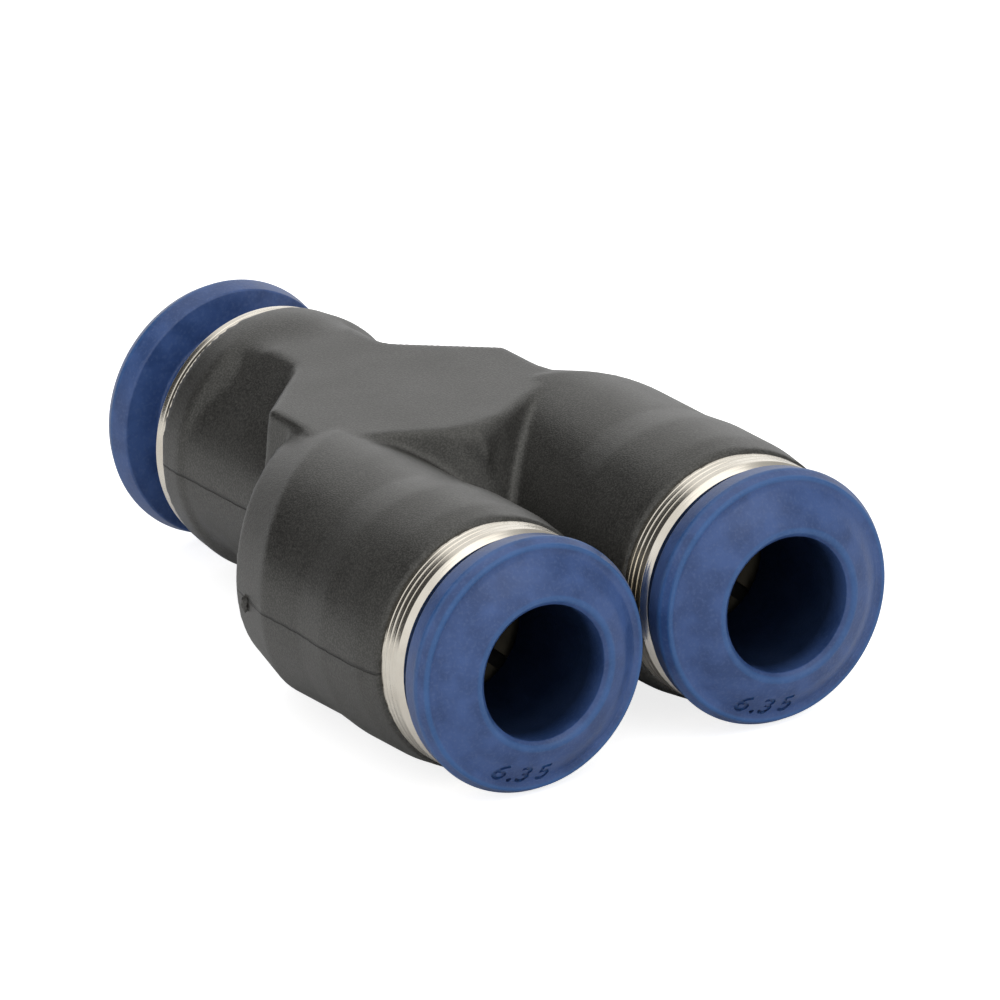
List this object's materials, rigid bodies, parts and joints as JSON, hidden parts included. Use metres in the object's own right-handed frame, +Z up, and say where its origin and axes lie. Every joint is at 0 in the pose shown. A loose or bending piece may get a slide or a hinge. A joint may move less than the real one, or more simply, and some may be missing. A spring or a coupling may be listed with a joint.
{
  "type": "tubing y connector",
  "caption": "Y-shaped push-in tubing connector: a moulded body joins a port on one side to parallel ports on the other, each with a metal ring and a sliding release collar.",
  "frame": {"origin": "middle of the connector with its collars as they stand, on the body's parting plane", "axes": "+Y along the rear port's way out, -Y along the twin ports' way out, X across the twin ports, +Z up"},
  "size_m": [0.0256, 0.0402, 0.0124],
  "materials": {
    "body": "black moulded plastic, fine matt",
    "ring": "turned brass, nickel plated",
    "collar": "blue moulded plastic, satin",
    "steel": "stamped spring steel",
    "spacer": "plain moulded plastic",
    "seal": "black rubber"
  },
  "bodies": {
    "fitting": {"y_body": "body", "front_left_ring": "ring", "front_left_claws": "steel", "front_left_spacer": "spacer", "front_left_seal": "seal", "front_right_ring": "ring", "front_right_claws": "steel", "front_right_spacer": "spacer", "front_right_seal": "seal", "rear_ring": "ring", "rear_claws": "steel", "rear_spacer": "spacer", "rear_seal": "seal"},
    "front_left_release": {"front_left_collar": "collar"},
    "front_right_release": {"front_right_collar": "collar"},
    "rear_release": {"rear_collar": "collar"}
  },
  "joints": [
    {"name": "front_left_release_slide", "type": "slide", "parent": "fitting", "child": "front_left_release", "axis": [0, -1, 0], "range_m": [-0.0005, 0.001]},
    {"name": "front_right_release_slide", "type": "slide", "parent": "fitting", "child": "front_right_release", "axis": [0, -1, 0], "range_m": [-0.0005, 0.001]},
    {"name": "rear_release_slide", "type": "slide", "parent": "fitting", "child": "rear_release", "axis": [0, 1, 0], "range_m": [-0.0015, 0]}
  ]
}
